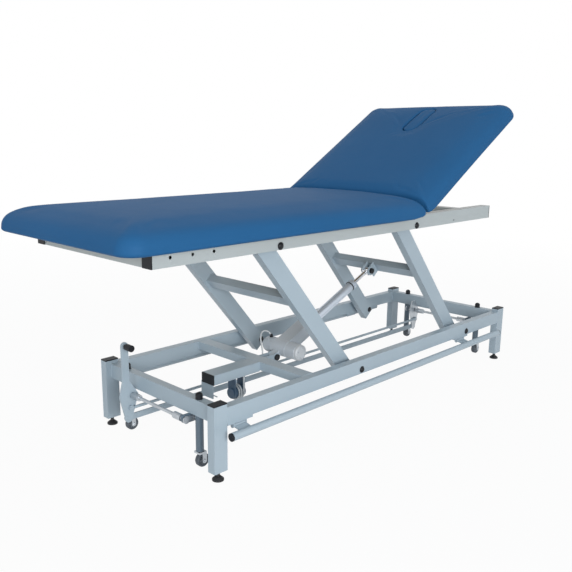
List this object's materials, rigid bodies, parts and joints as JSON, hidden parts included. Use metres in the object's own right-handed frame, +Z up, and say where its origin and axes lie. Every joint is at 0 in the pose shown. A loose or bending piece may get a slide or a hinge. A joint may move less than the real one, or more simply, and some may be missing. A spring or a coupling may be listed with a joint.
{
  "type": "electric massage table",
  "caption": "Height-adjustable treatment table: padded seat and tilting head section with a face slot, on a parallelogram lift with an electric actuator, foot bars and a castor lever.",
  "frame": {"origin": "middle of the table's bounding box in plan, on the floor", "axes": "+X towards the head end, +Y towards the far side, +Z up"},
  "size_m": [2.03, 0.72, 1.121],
  "materials": {
    "frame_paint": "satin pale grey-blue paint",
    "upper_paint": "satin pale grey paint",
    "bracket_paint": "satin grey-blue paint",
    "black_plastic": "moulded black",
    "black_bolt": "blackened steel",
    "black_rubber": "black rubber",
    "cushion_vinyl": "blue synthetic leather",
    "board_wood": "plywood",
    "unit_housing": "dark grey-blue moulding",
    "pale_plastic": "pale grey moulding",
    "white_plastic": "white moulding",
    "cable": "pale grey cable",
    "polished_rod": "polished",
    "zinc_steel": "zinc plated",
    "gas_black": "black",
    "castor_tyre": "dark grey wheel"
  },
  "bodies": {
    "base": {"base_rails": "frame_paint", "corner_posts": "frame_paint", "base_caps": "black_plastic", "levelling_feet": "black_rubber", "base_cross_beam": "frame_paint", "lower_pivot_bolts": "black_bolt", "castor_guides": "bracket_paint", "shaft_bearings": "bracket_paint", "control_unit": "unit_housing", "control_lead": "cable", "rear_clevis_pin": "black_bolt", "foot_bar_pivots": "frame_paint", "beam_lead": "cable"},
    "foot_swing": {"foot_arms": "frame_paint", "foot_crossbar": "frame_paint"},
    "head_swing": {"head_arms": "frame_paint", "head_crossbar": "frame_paint", "front_eye_bolts": "black_bolt"},
    "upper_frame": {"upper_side_rails": "upper_paint", "upper_cross_rails": "upper_paint", "rail_end_caps": "black_plastic", "upper_pivot_bolts": "black_bolt", "seat_board": "board_wood", "seat_cushion": "cushion_vinyl", "frame_hinge_brackets": "bracket_paint", "rest_buffers": "black_rubber"},
    "head_section": {"head_board": "board_wood", "head_cushion": "cushion_vinyl", "head_hinge_brackets": "bracket_paint"},
    "plug": {"face_plug": "cushion_vinyl"},
    "gas_barrel": {"gas_cylinder": "gas_black"},
    "gas_ram": {"gas_rod": "polished_rod"},
    "actuator": {"actuator_tube": "pale_plastic", "actuator_gearbox": "pale_plastic", "actuator_motor": "pale_plastic", "motor_end_cap": "white_plastic", "motor_lead": "cable"},
    "actuator_ram": {"actuator_rod": "polished_rod"},
    "near_bar": {"near_foot_bar": "frame_paint", "near_foot_bar_caps": "black_plastic"},
    "far_bar": {"far_foot_bar": "frame_paint", "far_foot_bar_caps": "black_plastic"},
    "pedal": {"foot_shaft": "zinc_steel", "foot_lever": "frame_paint", "lever_knob": "black_plastic"},
    "head_crank": {"head_shaft": "zinc_steel"},
    "bar_link": {"link_bar": "frame_paint"},
    "rod_link": {"link_rod": "frame_paint"},
    "stem_foot_near_slide": {"stem_foot_near": "zinc_steel"},
    "yoke_foot_near_swivel": {"yoke_foot_near": "zinc_steel"},
    "wheel_foot_near_roll": {"wheel_foot_near": "castor_tyre"},
    "stem_foot_far_slide": {"stem_foot_far": "zinc_steel"},
    "yoke_foot_far_swivel": {"yoke_foot_far": "zinc_steel"},
    "wheel_foot_far_roll": {"wheel_foot_far": "castor_tyre"},
    "stem_head_near_slide": {"stem_head_near": "zinc_steel"},
    "yoke_head_near_swivel": {"yoke_head_near": "zinc_steel"},
    "wheel_head_near_roll": {"wheel_head_near": "castor_tyre"},
    "stem_head_far_slide": {"stem_head_far": "zinc_steel"},
    "yoke_head_far_swivel": {"yoke_head_far": "zinc_steel"},
    "wheel_head_far_roll": {"wheel_head_far": "castor_tyre"}
  },
  "joints": [
    {"name": "lift", "type": "hinge", "parent": "base", "child": "foot_swing", "pos_m": [-0.023, 0, 0.19], "axis": [0, 1, 0], "range_deg": [-13, 13]},
    {"name": "head_lift", "type": "hinge", "parent": "base", "child": "head_swing", "pos_m": [0.692, 0, 0.19], "axis": [0, 1, 0], "range_deg": [-13, 13]},
    {"name": "frame_level", "type": "hinge", "parent": "foot_swing", "child": "upper_frame", "pos_m": [-0.44119, 0, 0.67448], "axis": [0, 1, 0], "range_deg": [-13, 13]},
    {"name": "actuator_tilt", "type": "hinge", "parent": "base", "child": "actuator", "pos_m": [-0.165, 0, 0.2], "axis": [0, -1, 0], "range_deg": [-3.7, 3.7]},
    {"name": "actuator_stroke", "type": "slide", "parent": "actuator", "child": "actuator_ram", "axis": [0.911, 0, 0.4124], "range_m": [-0.081, 0.081]},
    {"name": "backrest", "type": "hinge", "parent": "upper_frame", "child": "head_section", "pos_m": [0.253, 0, 0.73798], "axis": [0, -1, 0], "range_deg": [-31, 34]},
    {"name": "gas_barrel_tilt", "type": "hinge", "parent": "upper_frame", "child": "gas_barrel", "pos_m": [0.21671, 0, 0.60254], "axis": [0, -1, 0], "range_deg": [-15.5, 17]},
    {"name": "gas_ram_tilt", "type": "hinge", "parent": "head_section", "child": "gas_ram", "pos_m": [0.39104, 0, 0.76259], "axis": [0, -1, 0], "range_deg": [-17, 15.5]},
    {"name": "face_plug_lift", "type": "slide", "parent": "head_section", "child": "plug", "axis": [-0.515, 0, 0.8572], "range_m": [0, 0.09]},
    {"name": "near_bar_press", "type": "hinge", "parent": "base", "child": "near_bar", "pos_m": [0, -0.292, 0.158], "axis": [1, 0, 0], "range_deg": [0, 6], "stiffness_Nm_per_rad": 20, "springref_deg": -11.46},
    {"name": "far_bar_press", "type": "hinge", "parent": "base", "child": "far_bar", "pos_m": [0, 0.292, 0.158], "axis": [-1, 0, 0], "range_deg": [0, 6], "stiffness_Nm_per_rad": 20, "springref_deg": -11.46},
    {"name": "castor_lever", "type": "hinge", "parent": "base", "child": "pedal", "pos_m": [-0.703, 0, 0.16], "axis": [0, 1, 0], "range_deg": [0, 20]},
    {"name": "head_shaft_turn", "type": "hinge", "parent": "base", "child": "head_crank", "pos_m": [0.947, 0, 0.16], "axis": [0, 1, 0], "range_deg": [0, 20]},
    {"name": "link_bar_turn", "type": "hinge", "parent": "pedal", "child": "bar_link", "pos_m": [-0.718, 0.1263, 0.081], "axis": [0, 1, 0], "range_deg": [-20, 0]},
    {"name": "link_rod_turn", "type": "hinge", "parent": "pedal", "child": "rod_link", "pos_m": [-0.711, 0.1117, 0.118], "axis": [0, 1, 0], "range_deg": [-20, 0]},
    {"name": "stem_foot_near_drop", "type": "slide", "parent": "base", "child": "stem_foot_near_slide", "axis": [0, 0, -1], "range_m": [0, 0.0116]},
    {"name": "castor_foot_near_swivel", "type": "hinge", "parent": "stem_foot_near_slide", "child": "yoke_foot_near_swivel", "pos_m": [-0.67, -0.19, 0.05], "axis": [0, 0, 1], "continuous": true},
    {"name": "castor_foot_near_roll", "type": "hinge", "parent": "yoke_foot_near_swivel", "child": "wheel_foot_near_roll", "pos_m": [-0.662, -0.19, 0.026], "axis": [0, 1, 0], "continuous": true},
    {"name": "stem_foot_far_drop", "type": "slide", "parent": "base", "child": "stem_foot_far_slide", "axis": [0, 0, -1], "range_m": [0, 0.0116]},
    {"name": "castor_foot_far_swivel", "type": "hinge", "parent": "stem_foot_far_slide", "child": "yoke_foot_far_swivel", "pos_m": [-0.67, 0.19, 0.05], "axis": [0, 0, 1], "continuous": true},
    {"name": "castor_foot_far_roll", "type": "hinge", "parent": "yoke_foot_far_swivel", "child": "wheel_foot_far_roll", "pos_m": [-0.662, 0.19, 0.026], "axis": [0, 1, 0], "continuous": true},
    {"name": "stem_head_near_drop", "type": "slide", "parent": "base", "child": "stem_head_near_slide", "axis": [0, 0, -1], "range_m": [0, 0.0116]},
    {"name": "castor_head_near_swivel", "type": "hinge", "parent": "stem_head_near_slide", "child": "yoke_head_near_swivel", "pos_m": [0.98, -0.19, 0.05], "axis": [0, 0, 1], "continuous": true},
    {"name": "castor_head_near_roll", "type": "hinge", "parent": "yoke_head_near_swivel", "child": "wheel_head_near_roll", "pos_m": [0.988, -0.19, 0.026], "axis": [0, 1, 0], "continuous": true},
    {"name": "stem_head_far_drop", "type": "slide", "parent": "base", "child": "stem_head_far_slide", "axis": [0, 0, -1], "range_m": [0, 0.0116]},
    {"name": "castor_head_far_swivel", "type": "hinge", "parent": "stem_head_far_slide", "child": "yoke_head_far_swivel", "pos_m": [0.98, 0.19, 0.05], "axis": [0, 0, 1], "continuous": true},
    {"name": "castor_head_far_roll", "type": "hinge", "parent": "yoke_head_far_swivel", "child": "wheel_head_far_roll", "pos_m": [0.988, 0.19, 0.026], "axis": [0, 1, 0], "continuous": true}
  ],
  "couplings": [
    {"joint": "head_lift", "follows": "lift", "ratio": 1},
    {"joint": "frame_level", "follows": "lift", "ratio": -1},
    {"joint": "actuator_tilt", "follows": "lift", "ratio": 0.274},
    {"joint": "actuator_stroke", "follows": "lift", "m_per_rad": 0.352},
    {"joint": "gas_barrel_tilt", "follows": "backrest", "ratio": 0.5},
    {"joint": "gas_ram_tilt", "follows": "backrest", "ratio": -0.5},
    {"joint": "head_shaft_turn", "follows": "castor_lever", "ratio": 1},
    {"joint": "link_bar_turn", "follows": "castor_lever", "ratio": -1},
    {"joint": "link_rod_turn", "follows": "castor_lever", "ratio": -1},
    {"joint": "stem_foot_near_drop", "follows": "castor_lever", "m_per_rad": 0.033},
    {"joint": "stem_foot_far_drop", "follows": "castor_lever", "m_per_rad": 0.033},
    {"joint": "stem_head_near_drop", "follows": "castor_lever", "m_per_rad": 0.033},
    {"joint": "stem_head_far_drop", "follows": "castor_lever", "m_per_rad": 0.033}
  ]
}
